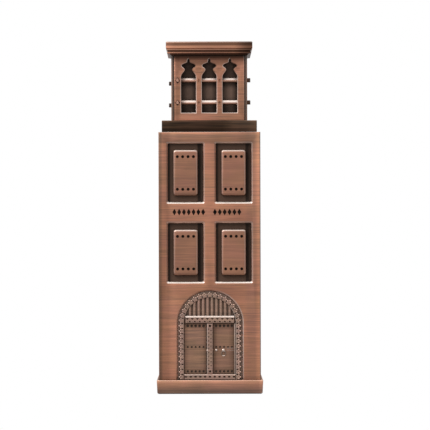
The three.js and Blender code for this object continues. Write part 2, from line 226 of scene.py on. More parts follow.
latticeLook = dict(
    copperLook, **shades(0.495, 0.236, 0.151),
    # painted light on the foot of the lattice and the painted shadow of the cornice over its top
    up=(
        (102.8, 1.5), (103.6, 1.35), (104.3, 1.05), (105.2, 0.92), (110.0, 1.0), (123.0, 1.0),
        (124.2, 0.8), (125.0, 0.68), (125.5, 0.52), (125.8, 0.38), (126.2, 0.25), (126.5, 0.15),
        (126.9, 0.1), (127.4, 0.08)),
    # painted light on the outer edges, and a darker stripe down the left stile
    across=(
        (-13.3, 1.15), (-12.9, 1.1), (-12.4, 0.8), (-11.6, 0.8), (-10.8, 1.0), (11.0, 1.0),
        (13.0, 1.0), (13.3, 1.2)),
    cavity=0.0007)

poleLook = dict(latticeLook, up=None, across=None, cavityStrength=0.0)

roofLook = dict(
    copperLook, **shades(0.495, 0.236, 0.151),
    # painted reflections and shadows along the mouldings of the cornice
    up=(
        (127.45, 0.14), (127.85, 0.16), (128.05, 0.36), (128.3, 0.5), (128.5, 0.48), (128.65, 0.24),
        (128.8, 0.16), (129.15, 0.26), (129.35, (0.8, 0.88, 0.92)), (129.6, (1.04, 1.18, 1.25)),
        (129.8, 0.84), (129.95, 0.82), (130.2, 1.15), (130.45, 1.36), (130.75, 1.14), (131.0, 0.78),
        (131.3, 0.48), (131.6, 0.36), (132.1, 0.36), (132.4, 0.5), (132.6, (0.75, 0.85, 0.95))),
    # painted light at the left end, painted shade towards the right end
    across=(
        (-16.3, 1.4), (-13.0, 1.08), (0.0, 1.0), (9.5, 1.0), (11.8, 0.72), (14.0, 0.46), (16.3, 0.34)))

plinthLook = dict(
    copperLook,
    # painted shade towards the foot, painted light at the top edge
    up=(
        (0.0, (0.54, 0.68, 0.82)), (1.4, (0.52, 0.66, 0.77)), (2.1, (0.66, 0.76, 0.84)),
        (2.85, (0.76, 0.83, 0.88)), (3.6, (0.84, 0.9, 0.92)), (4.1, (0.95, 0.98, 1.0)),
        (4.7, (1.15, 1.26, 1.28)), (5.2, (1.25, 1.5, 1.6))),
    # painted light at the right end
    across=(
        (-20.0, 0.88), (-17.0, 0.95), (-8.0, 1.0), (12.0, 1.0), (15.5, 0.92), (18.2, 0.92),
        (18.9, 1.1), (19.4, 1.25), (20.0, 1.5)))

darkLook = dict(
    copperLook, **shades(0.054, 0.031, 0.02, 0.4), worn=colour(0.22, 0.13, 0.09), roughness=0.42,
    cavityStrength=0.5,
    # painted light: lighter towards the right end and towards the top
    across=(
        (-17.9, 1.35), (-12.0, 1.1), (0.0, 1.0), (5.0, 1.05), (9.0, 1.8), (14.0, 2.3), (17.9, 3.0)),
    up=(
        (98.4, 0.55), (99.4, 0.62), (100.4, 1.0), (101.6, 1.05), (102.2, 1.35), (102.5, 1.9),
        (102.8, 2.6)))

coreLook = dict(
    copperLook, **shades(0.32, 0.255, 0.235), oxide=colour(0.118, 0.075, 0.056), cavity=0.001,
    cavityStrength=0.5, roughness=0.45, recess=(11.2, 12.8), sootAndShadeTone=0.3,
    # painted reflections and shadows on the core where it shows through the lights
    oxideLightShadeAcross=(
        (-10.8, 0.42), (-9.9, 0.55), (-8.5, 1.1), (-6.9, 1.1), (-5.6, 0.48), (-4.9, 0.4),
        (-2.9, 0.4), (-2.1, 0.62), (-0.8, 1.35), (0.7, 1.35), (1.9, 0.65), (2.6, 0.4), (4.9, 0.38),
        (5.6, 0.6), (6.9, 1.4), (8.3, 1.6), (9.4, 0.9), (10.2, 0.38), (10.8, 0.35)),
    oxideLightShadeUp=(
        (105.0, 0.36), (106.6, 0.4), (107.9, 0.5), (108.8, 0.9), (109.6, 0.85), (110.6, 0.6),
        (111.2, 0.8), (111.9, 1.0), (114.9, 1.05), (115.6, 0.85), (116.4, 0.55), (117.4, 0.52),
        (119.2, 0.6), (120.7, 0.5), (122.2, 0.48), (123.7, 0.6), (126.5, 0.55)))

reliefLook = dict(
    copperLook, **shades(0.43, 0.275, 0.212, 0.22), oxide=colour(0.105, 0.07, 0.052), roughness=0.42,
    cavity=0.0008, sootAndShadeTone=0.3)

leafLook = dict(
    reliefLook, **shades(0.355, 0.2, 0.136, 0.24), cavity=0.0014,
    # painted shadows along the edges of the leaves, darker at the foot and the top, and a painted highlight down
    # the right jamb; the wide cavity reach darkens the corners with painted shade
    across=(
        (-9.7, 0.45), (-8.9, 0.8), (-7.8, 1.06), (-4.0, 1.1), (-2.6, 1.0), (-1.7, 0.62), (-1.2, 0.42),
        (1.2, 0.38), (1.8, 0.52), (2.8, 0.86), (4.0, 0.94), (7.0, 0.92), (8.4, 0.66), (9.1, 0.4),
        (9.25, 0.9), (9.7, 1.1)),
    up=(
        (7.3, 0.62), (8.2, 0.86), (9.4, 0.98), (17.0, 0.98), (22.0, 1.06), (24.4, 1.0), (25.6, 0.8),
        (26.5, 0.55)))

latchLook = dict(
    reliefLook, **shades(0.62, 0.46, 0.38), worn=colour(1.0, 0.96, 0.91), roughness=0.3, cavityStrength=0.3)


def antiqueCopper(name, look):
    material = bpy.data.materials.new(name)
    board = Board(material)
    patina, worn, across, up = (board.node("ShaderNodeAttribute", {"attribute_name": written}, output=2)
                                for written in ("patina", "worn", "across", "up"))
    grain = look["grain"]
    brush = board.noise(grain["brush"], roughness=0.6)
    hair = board.noise(grain["hair"], detail=2.0)
    cloud = board.noise(grain["cloud"], detail=2.0, distortion=0.6)
    hue = board.noise(grain["hue"], detail=2.0)
    speck = board.noise(grain["speck"], detail=2.0)
    corner = board.openness(look["cavity"])
    if look["recess"]:
        across, up, far = board.around()
        patina = patina + (1.0 - board.spread(far, *look["recess"]))

    sheen = board.spread(brush * 0.26 + hair * 0.44 + cloud * 0.30, 0.36, 0.64)
    copper = board.mix(board.spread(sheen, 0.0, 0.5), look["brown"], look["mid"])
    copper = board.mix(board.spread(sheen, 0.5, 1.0), copper, look["bright"])
    olive, rose = look["tints"]
    copper = board.tinted(copper, board.mix(board.spread(hue, 0.36, 0.64), olive, rose))
    # painted light and shade from the look's tone profiles, on the copper and on the oxide
    copper = board.graded(copper, (look["across"], look["up"]), across, up)
    oxide = board.graded(look["oxide"], (look["oxideLightShadeAcross"], look["oxideLightShadeUp"]), across, up)
    sootAndShade = board.tinted(oxide, grey(look["sootAndShadeTone"]))

    # the oxide patina, with painted shade, darkens where the metal is shut in; soot and deeper painted shade sit
    # in the deepest corners
    shut = 1.0 - corner
    creepAndShade = shut * look["cavityStrength"] + (speck - 0.5) * 0.10
    dark = (patina + board.spread(creepAndShade, 0.25, 0.85) * (1.0 - worn)).clamped()
    deep = (board.spread(shut, 0.45, 1.0) * dark * 0.8 + (patina - 1.0).clamped()).clamped()
    # polished wear and painted highlights turn to the pale colour of bare copper
    polishAndHighlight = (worn * (0.80 + 0.4 * speck)).clamped()
    skin = board.mix(dark, copper, oxide)
    skin = board.mix(deep, skin, sootAndShade)
    skin = board.mix(polishAndHighlight, skin, look["worn"])

    roughness = look["roughness"] + (brush - 0.5) * 0.14 + dark * (look["oxideRoughness"] - look["roughness"])
    height = hair * 0.55 + brush * 0.45 + speck * 0.25 * dark
    bump = board.node("ShaderNodeBump", {}, {"Strength": 0.4, "Distance": look["grainDepth"], "Height": height})
    shader = board.node("ShaderNodeBsdfPrincipled", {}, {
        "Base Color": skin, "Metallic": 1.0 - dark * 0.7, "Roughness": roughness.clamped(),
        "Specular IOR Level": 0.12, "Normal": bump})
    board.node("ShaderNodeOutputMaterial", {}, {"Surface": shader})
    return material


steelLook = {
    "bright": colour(0.66, 0.66, 0.64),
    "dull": colour(0.40, 0.40, 0.39),
    "grimeAndShade": colour(0.09, 0.085, 0.08),
    "cavity": 0.0008,
    "roughness": 0.26,
    "grainDepth": 0.000012,
    "grain": {"rolled": (160, 4200, 160), "cloud": (240, 240, 240)},
}


def platedSteel(name, look):
    material = bpy.data.materials.new(name)
    board = Board(material)
    rolled = board.noise(look["grain"]["rolled"])
    cloud = board.noise(look["grain"]["cloud"], distortion=0.8)
    corner = board.openness(look["cavity"])
    skin = board.mix(board.spread(rolled * 0.5 + cloud * 0.5, 0.35, 0.65), look["dull"], look["bright"])
    # grime and painted shade darken the corners
    skin = board.mix((1.0 - corner) * 0.7, skin, look["grimeAndShade"])
    bump = board.node("ShaderNodeBump", {}, {"Strength": 0.5, "Distance": look["grainDepth"], "Height": rolled})
    shader = board.node("ShaderNodeBsdfPrincipled", {}, {
        "Base Color": skin, "Metallic": 1.0, "Roughness": look["roughness"] + cloud * 0.16, "Normal": bump})
    board.node("ShaderNodeOutputMaterial", {}, {"Surface": shader})
    return material


looks = {"wall": wallLook, "shutter": shutterLook, "lattice": latticeLook, "pole": poleLook, "roof": roofLook,
         "plinth": plinthLook, "collar": darkLook, "core": coreLook, "relief": reliefLook, "leaf": leafLook,
         "latch": latchLook}
finishes = {name: antiqueCopper(f"{name}Copper", look) for name, look in looks.items()}
finishes["steel"] = platedSteel("openerSteel", steelLook)
print("finishes made")



def linked(name, data):
    made = bpy.data.objects.new(name, data)
    bpy.context.scene.collection.objects.link(made)
    return made


def makeObject(name, points, faces):
    data = bpy.data.meshes.new(name)
    data.from_pydata([Vector(p) * mm for p in points], [], faces)
    work = bmesh.new()
    work.from_mesh(data)
    bmesh.ops.recalc_face_normals(work, faces=work.faces)
    work.to_mesh(data)
    work.free()
    return linked(name, data)


def loft(name, loops):
    # a closed skin through loops that have the same number of points
    count = len(loops[0])
    points = [p for loop in loops for p in loop]
    faces = [list(range(count))[::-1], [len(points) - count + i for i in range(count)]]
    for row in range(len(loops) - 1):
        for i in range(count):
            a, b = row * count + i, row * count + (i + 1) % count
            faces.append([a, b, b + count, a + count])
    return makeObject(name, points, faces)


def onFace(outline, w):
    return [(u, -w, v) for u, v in outline]


def stacked(name, *layers):
    # a closed skin through outlines on the front face, each with its distance from the axis
    return loft(name, [onFace(outline, w) for outline, w in layers])


def inPlan(outline, z):
    return [(x, y, z) for x, y in outline]


def arcPoints(cx, cy, radius, start, end, steps):
    angles = [math.radians(start + (end - start) * i / steps) for i in range(steps + 1)]
    return [(cx + radius * math.cos(a), cy + radius * math.sin(a)) for a in angles]


def ringPoints(cx, cy, radius, count=24):
    return arcPoints(cx, cy, radius, 0, 360 - 360 / count, count - 1)


def roundedRectangle(cx, cy, halfWidth, halfHeight, radius, steps=4):
    points = []
    for sx, sy, start in ((1, -1, -90), (1, 1, 0), (-1, 1, 90), (-1, -1, 180)):
        points += arcPoints(cx + sx * (halfWidth - radius), cy + sy * (halfHeight - radius),
                            radius, start, start + 90, steps)
    return points


def rhombus(u, v, halfWidth, halfHeight):
    return [(u + halfWidth, v), (u, v + halfHeight), (u - halfWidth, v), (u, v - halfHeight)]


def boxOutline(u0, u1, v0, v1):
    return [(u0, v0), (u1, v0), (u1, v1), (u0, v1)]


def boxParts(low, high):
    (x0, y0, z0), (x1, y1, z1) = low, high
    points = [(x, y, z) for z in (z0, z1) for x, y in ((x0, y0), (x1, y0), (x1, y1), (x0, y1))]
    return points, [[0, 3, 2, 1], [4, 5, 6, 7]] + [[i, (i + 1) % 4, 4 + (i + 1) % 4, 4 + i] for i in range(4)]


def shapeOf(obj):
    # a new mesh of an object as its modifiers leave it
    deps = bpy.context.evaluated_depsgraph_get()
    return bpy.data.meshes.new_from_object(obj.evaluated_get(deps), depsgraph=deps)


def settle(obj):
    # applies the modifiers
    old, obj.data = obj.data, shapeOf(obj)
    obj.modifiers.clear()
    bpy.data.meshes.remove(old)
    return obj


def dropOf(obj):
    data = obj.data
    bpy.data.objects.remove(obj)
    bpy.data.meshes.remove(data)


def merge(name, objects):
    work = bmesh.new()
    for obj in objects:
        work.from_mesh(obj.data)
        dropOf(obj)
    data = bpy.data.meshes.new(name)
    work.to_mesh(data)
    work.free()
    return linked(name, data)


def carve(obj, cutters, tone=1.7):
    # the cut faces of a painted piece take the tone, from 1 for oxide to 2 for soot; both also paint the shade
    # in the cut
    tool = merge("cutter", cutters)
    if "patina" in obj.data.attributes:
        paint(tool, tone if callable(tone) else lambda at, to: (tone, 0.0))
    cut = obj.modifiers.new("cut", "BOOLEAN")
    cut.operation = "DIFFERENCE"
    cut.solver = "EXACT"
    cut.object = tool
    settle(obj)
    dropOf(tool)
    return obj


def soften(obj, width, segments=2, angle=35):
    bevel = obj.modifiers.new("bevel", "BEVEL")
    bevel.width = width * mm
    bevel.segments = segments
    bevel.limit_method = "ANGLE"
    bevel.angle_limit = math.radians(angle)
    bevel.use_clamp_overlap = True
    return settle(obj)


def plate(name, outlines, back, front, bevel=0.0, steps=2):
    # a flat casting with through holes: the first outline is the edge, the others are holes
    curve = bpy.data.curves.new(name, "CURVE")
    curve.dimensions = "2D"
    curve.fill_mode = "BOTH"
    curve.extrude = ((front - back) / 2 - bevel) * mm
    curve.bevel_depth = bevel * mm
    curve.bevel_resolution = steps - 1
    curve.offset = -bevel * mm
    for outline in outlines:
        spline = curve.splines.new("POLY")
        spline.points.add(len(outline) - 1)
        for point, (u, v) in zip(spline.points, outline):
            point.co = (u * mm, v * mm, 0, 1)
        spline.use_cyclic_u = True
    holder = linked(name, curve)
    data = shapeOf(holder)
    bpy.data.objects.remove(holder)
    bpy.data.curves.remove(curve)
    work = bmesh.new()
    work.from_mesh(data)
    bmesh.ops.remove_doubles(work, verts=work.verts, dist=1e-7)
    bmesh.ops.transform(work, verts=work.verts, matrix=Matrix.Translation((0, -(front + back) / 2 * mm, 0))
                        @ Matrix.Rotation(math.pi / 2, 4, "X"))
    bmesh.ops.recalc_face_normals(work, faces=work.faces)
    work.to_mesh(data)
    work.free()
    data.name = name
    return linked(name, data)


def paint(obj, rule):
    # writes the patina and painted shade, and the wear and painted highlights, of each face from its place and
    # the way it looks
    data = obj.data
    patina = data.attributes.new("patina", "FLOAT", "FACE")
    worn = data.attributes.new("worn", "FLOAT", "FACE")
    outward = lambda place: Vector((place.x, place.z, -place.y))
    for i, face in enumerate(data.polygons):
        patina.data[i].value, worn.data[i].value = rule(outward(face.center / mm), outward(face.normal))
    return obj


def brushedFrom(face, floorTone=0.96, top=1.0, sides=0.2, leftLit=0.0):
    # the brush reached what stands this far out: its flat face is copper; its edges get a painted highlight that
    # grows as they face up, another on edges facing left by leftLit, and a touch of painted shade where they
    # face down
    def rule(at, to):
        if to.z > faceOn:
            return (0.0, 0.0) if at.z > face - 0.12 else (floorTone, 0.0)
        if to.z > slanted and at.z > face - 0.9:
            if to.y < -0.25:
                return 0.1, 0.0
            lit = leftLit if to.x < -0.25 else 0.0
            return 0.0, min(1.0, max(sides, lit, top * to.y))
        return floorTone - 0.06, 0.0
    return rule


def grade(obj, quarter):
    # writes how far across its side of the house and how high each corner of a face is
    data = obj.data
    across = data.attributes.new("across", "FLOAT", "CORNER")
    up = data.attributes.new("up", "FLOAT", "CORNER")
    turns = ((1, 0), (0, 1), (-1, 0), (0, -1))
    for face in data.polygons:
        turn = quarter
        if quarter is None:  # a piece that runs round the house
            to = face.normal
            turn = round(math.atan2(to.x, -to.y) / (math.pi / 2)) % 4 if math.hypot(to.x, to.y) > 0.3 else 0
        cos, sin = turns[turn]
        for loop in face.loop_indices:
            at = data.vertices[data.loops[loop].vertex_index].co
            across.data[loop].value = (at.x * cos + at.y * sin) / mm
            up.data[loop].value = at.z / mm


def finished(obj, finish, *nodes, quarter=None, smooth=32):
    grade(obj, quarter)
    obj.data.shade_smooth()
    obj.data.set_sharp_from_angle(angle=math.radians(smooth))
    obj.data.materials.clear()
    obj.data.materials.append(finishes[finish])
    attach(obj, "root")
    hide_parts(*nodes)
    return obj


def turned(obj, name, quarter, shift=(0, 0, 0)):
    # a copy of a front piece on another side
    data = obj.data.copy()
    data.name = name
    data.transform(Matrix.Rotation(quarter * math.pi / 2, 4, "Z") @ Matrix.Translation(Vector(shift) * mm))
    return linked(name, data)


def pit(u, v, face, radius, depth, count=14, tip=0.55):
    # a drilled dimple with a coned floor
    ring = lambda share: ringPoints(u, v, radius * share, count)
    return stacked("pit", (ring(tip * 0.3), face - depth), (ring(0.86), face - depth * tip),
                   (ring(1), face - depth * 0.12), (ring(1.15), face + 0.06), (ring(1.15), face + 0.3))


walls = {
    "cornerRadius": 0.45,
    "edge": 0.11,
    "pocket": (13.2, 21.95),  # inside width and height of a window recess
    "pocketDepth": 1.7,
    "rim": 0.62,
    "pocketCorner": 0.35,
    "columns": 9.03,
    "rows": {"upper": 83.1, "lower": 53.15},
    "bandLevel": 68.3,  # engraved band between the rows
    "bandRuns": ((-14.1, -1.5), (1.1, 12.1)),
    "lozenge": (1.5, 2.5),
    "bandPitch": 1.78,
    "bandDepth": 0.3,
    "bandReach": 6.7,  # no other cut is this near to the band
    "markTone": 1.9,
}
pocketFloor = house["half"] - walls["pocketDepth"]

niche = {"radius": 12.12, "spring": 26.45, "rim": 0.6}


def wallBlank(name):
    half, inner, r = house["half"], house["half"] - house["wall"], walls["cornerRadius"]
    right = [(x - gap, y) for x, y in arcPoints(half - r, half - r, r, 45, 90, 4)]
    left = [(-x, y) for x, y in reversed(right)]
    plan = [(inner - gap, inner)] + right + left + [(-inner + gap, inner)]
    flat = [(x, -y) for x, y in plan]
    return loft(name, [inPlan(flat, house["foot"]), inPlan(flat, house["top"])])


def doorway(radius, spring, foot, steps=40):
    return [(radius, foot)] + arcPoints(0, spring, radius, 0, 180, steps) + [(-radius, foot)]


def pocketCutter(column, row):
    width, height = walls["pocket"]
    rim, face = walls["rim"], house["half"]
    shape = lambda grow, r: roundedRectangle(column, row, width / 2 + grow, height / 2 + grow, r)
    corner = walls["pocketCorner"]
    return stacked("pocket", (shape(0, corner), pocketFloor), (shape(0, corner), face - rim),
                   (shape(rim, corner + rim * 0.4), face), (shape(rim * 2, corner + rim), face + rim))


def nicheCutter():
    rim, face, foot = niche["rim"], house["half"], house["foot"] - 2
    shape = lambda grow: doorway(niche["radius"] + grow, niche["spring"], foot)
    return stacked("niche", (shape(0), pocketFloor), (shape(0), face - rim), (shape(rim), face),
                   (shape(rim * 2), face + rim))


def bandCutters():
    # rows of cut lozenges
    cutters = []
    face = house["half"]
    wide, tall = walls["lozenge"]
    for start, end in walls["bandRuns"]:
        count = round((end - start) / walls["bandPitch"])
        pitch = (end - start) / count
        for i in range(count):
            mark = rhombus(start + (i + 0.5) * pitch, walls["bandLevel"], wide / 2, tall / 2)
            cutters.append(stacked("lozenge", (mark, face - walls["bandDepth"]), (mark, face + 0.3)))
    return cutters


def windowCutters():
    return [pocketCutter(side * walls["columns"], row) for row in walls["rows"].values() for side in (-1, 1)]


def wallRule(at, to):
    inDoor = at.y < niche["spring"] + niche["radius"] + 1 and abs(at.x) < niche["radius"] + 1
    sunk = house["half"] - at.z  # how far the face lies behind the front
    if to.z > faceOn:
        if sunk < 0.1:
            return 0.0, 0.0
        if sunk < 0.5:
            return walls["markTone"], 0.0
        return 0.6 if inDoor else 1.0, 0.0
    if abs(to.x) > 0.15 and abs(at.x) > house["half"] - 1:
        return 0.0, 0.0 if at.x < 0 else 0.10  # rounded outer corner, with a painted highlight on the right one
    # edges: painted highlights on the top edge, where they face up and where they face left; painted shade where
    # they face right, in the door too
    if to.z > slanted and sunk < 0.8:
        if inDoor:
            return (0.0, min(0.5, -1.1 * to.x)) if to.x < -0.05 else (0.42, 0.03)
        if at.y > house["top"] - 1:
            return 0.0, 0.8
        if to.y > 0.25:
            return 0.0, min(1.0, 1.5 * to.y)
        if to.y < -0.25:
            return 0.0, 0.22
        return (0.0, 0.26) if to.x < -0.25 else (0.30, 0.06)
    if sunk < 0.45 and abs(at.y - walls["bandLevel"]) < walls["bandReach"]:
        return walls["markTone"], 0.0
    return (0.7, 0.03) if inDoor else (0.92, 0.0)


plainWall = soften(carve(wallBlank("wall"), windowCutters()), walls["edge"])
paint(plainWall, wallRule)
for quarter, side in enumerate(sides):
    if side != "front":
        finished(turned(plainWall, f"wall_casting_{side}", quarter), "wall", f"wall_{side}", quarter=quarter)
dropOf(plainWall)
frontWall = carve(wallBlank("wall_casting_front"), windowCutters() + [nicheCutter()])
frontWall = carve(soften(frontWall, walls["edge"]), bandCutters())
finished(paint(frontWall, wallRule), "wall", "wall_front", quarter=0)
print("walls made")


shutters = {
    "size": (9.3, 17.2),
    "corner": 0.95,
    "edge": 0.62,
    "pitRadius": 0.53,
    "pitDepth": 0.6,
    "pitch": 2.02,
    "columns": 4,
    "pitRows": (-6.22, 6.02),
}


def shutterBlank():
    width, height = shutters["size"]
    corner, edge, face = shutters["corner"], shutters["edge"], house["half"]
    shape = lambda inset: roundedRectangle(0, 0, width / 2 - inset, height / 2 - inset,
                                           max(0.12, corner - inset * 0.6))
    slab = stacked("shutter", (shape(0), pocketFloor + gap), (shape(0), face - edge),
                   (shape(edge * 0.12), face - edge * 0.62), (shape(edge * 0.45), face - edge * 0.22),
                   (shape(edge), face))
    columns, pitch = shutters["columns"], shutters["pitch"]
    pits = [pit((i - (columns - 1) / 2) * pitch, row, face, shutters["pitRadius"], shutters["pitDepth"])
            for row in shutters["pitRows"] for i in range(columns)]
    return carve(paint(slab, brushedFrom(face, top=1.15, sides=0.14)), pits, 1.8)


shutterMesh = shutterBlank()
for quarter, side in enumerate(sides):
    for row, height in walls["rows"].items():
        for hand, column in (("left", -walls["columns"]), ("right", walls["columns"])):
            made = turned(shutterMesh, f"shutter_casting_{side}_{row}_{hand}", quarter, (column, 0, height))
            finished(made, "shutter", f"shutter_{side}_{row}_{hand}", quarter=quarter)
dropOf(shutterMesh)
print("shutters made")


plinth = {
    "half": 20.0,
    "top": 5.2,
    "taper": 0.2,  # how much narrower the foot is, each side
    "round": 0.6,
    "corner": 0.9,
    "recess": (16.6, 2.55),  # half width and depth of the seat of the opener plate
    "throat": (14.6, 13.6, 6.1),  # half width, half depth and cut corners of the hole above the mouth
    "screws": 13.2,
    "screwHole": 1.35,
    "rail": (8, 1.1),  # half length of the rails that hold the walls, and their thickness and height
}


def squareLoop(half, z, radius, steps=5):
    return inPlan(roundedRectangle(0, 0, half, half, radius, steps), z)


def cutRectangle(halfX, halfY, cut):
    right = [(halfX - cut, -halfY), (halfX, cut - halfY), (halfX, halfY - cut), (halfX - cut, halfY)]
    return right + [(-x, -y) for x, y in right]


def plinthCasting():
    half, top, taper, r, corner = (plinth[k] for k in ("half", "top", "taper", "round", "corner"))
    levels = [(x, z + r) for x, z in arcPoints(half - taper - r, 0, r, -90, 0, 4)]  # rounded foot
    levels += [(half, top - 0.2), (half - 0.05, top - 0.06), (half - 0.2, top)]
    body = loft("plinth_casting", [squareLoop(h, z, max(0.2, corner - (half - h) * 0.4)) for h, z in levels])
    at, hole = plinth["screws"], plinth["screwHole"]
    seat, ledge = plinth["recess"]
    body = carve(body, [loft("recess", [squareLoop(seat, z, 1.6) for z in (-1, ledge)])])
    cutters = [loft("throat", [inPlan(cutRectangle(*plinth["throat"]), z) for z in (1, top + 1)])]
    cutters += [loft("hole", [inPlan(ringPoints(x * at, y * at, hole), z) for z in (1, top + 1)])
                for x in (-1, 1) for y in (-1, 1)]
    body = soften(carve(body, cutters), 0.12)
    inner = house["half"] - house["wall"] - gap
    reach, thick = plinth["rail"]
    rails = []
    for quarter in range(4):
        rail = makeObject("rail", *boxParts((-reach, -inner, top - 0.02), (reach, thick - inner, top + thick)))
        rail.data.transform(Matrix.Rotation(quarter * math.pi / 2, 4, "Z"))
        rails.append(rail)
    return merge("plinth_casting", [body] + rails)


def plinthRule(at, to):
    # at.y is the height here; the outer sides are brushed, the underside and the seat are not
    if at.y < 0.2 or max(abs(at.x), abs(at.z)) < plinth["recess"][0] + 0.2:
        return 0.75, 0.0
    # a painted highlight on faces that look up, except the top
    if to.y > 0.3:
        return 0.0, 0.35 * to.y if at.y < plinth["top"] - 0.02 else 0.0
    return 0.0, 0.0


finished(paint(plinthCasting(), plinthRule), "plinth", "plinth")
print("plinth made")


collar = {"half": 17.9, "low": 98.45, "top": 102.8, "round": 0.16, "spigot": 6.3, "spigotRise": 1.45}


def collarCasting():
    half, base, top, r = collar["half"], collar["low"], collar["top"], collar["round"]
    slab = loft("collar_casting", [squareLoop(half - r, base, 0.3), squareLoop(half, base + r, 0.4),
                                   squareLoop(half, top - r, 0.4), squareLoop(half - r, top, 0.3)])
    rise = collar["spigotRise"]
    spigot = loft("spigot", [squareLoop(collar["spigot"], z, 0.5) for z in (top - 0.02, top + rise)])
    return merge("collar_casting", [slab, spigot])


def collarRule(at, to):
    # a painted highlight on edges that look up
    return 0.0, 0.25 if 0.2 < to.y < 0.95 else 0.0


finished(paint(collarCasting(), collarRule), "collar", "collar")
print("collar made")


tower = {
    "face": 14.35,
    "thick": 1.05,
    "low": 102.85,
    "top": 127.4,
    "edge": 0.28,
    "lightPitch": 7.82,
    "poleOffset": 11.94,
    "poleLevels": {"upper": 118.0, "lower": 109.6},
    "poleHole": (0.95, 1.15),
    "poleEnds": (-10.65, 15.55),
    "dish": (122.1, 1.15, 0.8, 0.06),  # level, half width, half height and depth of the shallow dishes
    "dishInset": 1.1,
    "nick": (0.2, 0.3, 0.5, 0.7),  # half width and height of a nick at its bottom and at the face
    "sill": 105.85,
}

# half of one lobed light, from where its side ends to the tip of its finial: half width and height
lightShape = (
    (2.76, 119.3), (2.68, 119.85), (2.38, 120.4), (1.96, 120.95), (1.60, 121.45), (1.38, 121.85), (1.34, 122.15),
    (1.46, 122.5), (1.82, 122.85), (2.32, 123.15), (2.53, 123.45), (2.50, 123.75), (2.26, 124.0), (1.80, 124.25),
    (1.20, 124.45), (0.62, 124.68), (0.40, 124.95), (0.36, 125.45), (0.30, 125.8), (0.0, 126.1))


def lightOutline(centre):
    right = [(centre + lightShape[0][0], tower["sill"])] + [(centre + x, y) for x, y in lightShape]
    left = [(2 * centre - x, y) for x, y in right[-2::-1]]
    return right + left


def ovalDish(u, face):
    v, wide, tall, depth = tower["dish"]
    ring = lambda k: [(u + wide * k * x, v + tall * k * y) for x, y in ringPoints(0, 0, 1, 20)]
    return stacked("dish", (ring(0.3), face - depth), (ring(0.75), face - depth * 0.55), (ring(1), face),
                   (ring(1.05), face + 0.2))


def latticeCasting():
    face = tower["face"]
    back = face - tower["thick"]
    edge = back - gap
    pitch = tower["lightPitch"]
    lights = [lightOutline(i * pitch) for i in (-1, 0, 1)]
    outlines = [boxOutline(-edge, edge, tower["low"], tower["top"])] + lights
    made = plate("lattice", outlines, back, face, tower["edge"], steps=3)
    brushed = brushedFrom(face, top=1.0, sides=0.42)

    def rule(at, to):
        if abs(to.x) > 0.9 and abs(at.x) > edge - 0.1:
            return 0.85, 0.08  # the ends, which show at the corners of the tower
        # edges: a painted shadow of the cornice along the top, painted shade on the left edge and on lobe edges
        # that face left, a faint painted highlight on the right and lower edges
        if slanted < to.z < faceOn:
            if at.y > tower["top"] - 0.5:
                return 1.2, 0.0
            if at.x < 0.5 - edge:
                return 0.22, 0.0
            if at.x > edge - 0.5 or at.y < tower["low"] + 0.5:
                return 0.0, 0.10
            if at.y > 121 and to.x < 0 and to.y > -0.3:
                return 0.75, 0.03
        return brushed(at, to)

    paint(made, rule)
    heights = tower["poleLevels"].values()
    holes = []
    for z in heights:
        hole = rhombus(-tower["poleOffset"], z, *tower["poleHole"])
        holes.append(stacked("hole", (hole, back - 1), (hole, face + 1)))
    carve(made, holes, 1.5)
    side = 1.5 * pitch - tower["dishInset"]
    dishes = [ovalDish(u, face) for u in (-side, -pitch / 2, pitch / 2, side)]
    carve(made, dishes, lambda at, to: (0.14 + 0.12 * (at.z < face - 0.03), 0.0))
    bottom, mouth = tower["nick"][:2], tower["nick"][2:]
    nicks = [stacked("nick", (rhombus(u, z, *bottom), face - 0.2), (rhombus(u, z, *mouth), face + 0.02),
                     (rhombus(u, z, *mouth), face + 0.3))
             for z in heights for u in (-pitch / 2, pitch / 2)]
    return carve(made, nicks, 0.45)


# the section of a pole, outwards and up: a broad upper facet, a steep lower one, and a ridge behind
poleSection = (
    (-0.55, 0.04), (-0.50, 0.14), (-0.20, 0.80), (0.05, 0.94), (0.20, 0.94), (0.56, 0.34), (0.64, 0.20),
    (0.68, 0.08), (0.62, -0.36), (0.54, -0.44), (0.10, -0.64), (-0.10, -0.66), (-0.44, -0.62), (-0.50, -0.56))


def poleCasting(height):
    start, end = tower["poleEnds"]
    y0 = -tower["poleOffset"]
    section = lambda x, k: [(x, y0 - a * k, height + b * k) for a, b in poleSection]
    stations = [(start, 0.9)] + [(start + 0.1 + i * 0.45, 1.0) for i in range(10)]
    stations += [(tower["face"] - 0.1, 1.0), (end - 0.15, 1.0), (end, 0.82)]
    made = loft("pole", [section(x, k) for x, k in stations])

    def rule(at, to):
        if to.x < -0.9:
            return 0.0, 0.25  # the end that shows at the neighbouring side, with a painted highlight
        if to.x > 0.9:
            return 0.0, 0.12
        # the tip that stands out of the tower is painted dark with shade
        if at.x > tower["face"] - 0.2:
            return 0.97, 0.0
        shade = max(0.0, min(1.0, (start + 2.6 - at.x) / 2.4)) * 0.8  # darker at its inner end
        # a painted highlight on the upper facet and painted shade on the lower one
        if to.y > 0.4:
            return shade * 0.6, 0.78 * (1 - shade * 0.6)
        if to.y > -0.4:
            return shade, 0.08 * (1 - shade)
        return max(shade, 0.3), 0.0

    return paint(made, rule)


latticeMesh = latticeCasting()
for quarter, side in enumerate(sides):
    made = turned(latticeMesh, f"lattice_casting_{side}", quarter)
    finished(made, "lattice", f"lattice_{side}", quarter=quarter)
dropOf(latticeMesh)
for row, height in tower["poleLevels"].items():
    poleMesh = poleCasting(height)
    for quarter, side in enumerate(sides):
        made = turned(poleMesh, f"pole_bar_{side}_{row}", quarter)
        finished(made, "pole", f"pole_{side}_{row}", quarter=quarter, smooth=10)
    dropOf(poleMesh)
print("tower made")


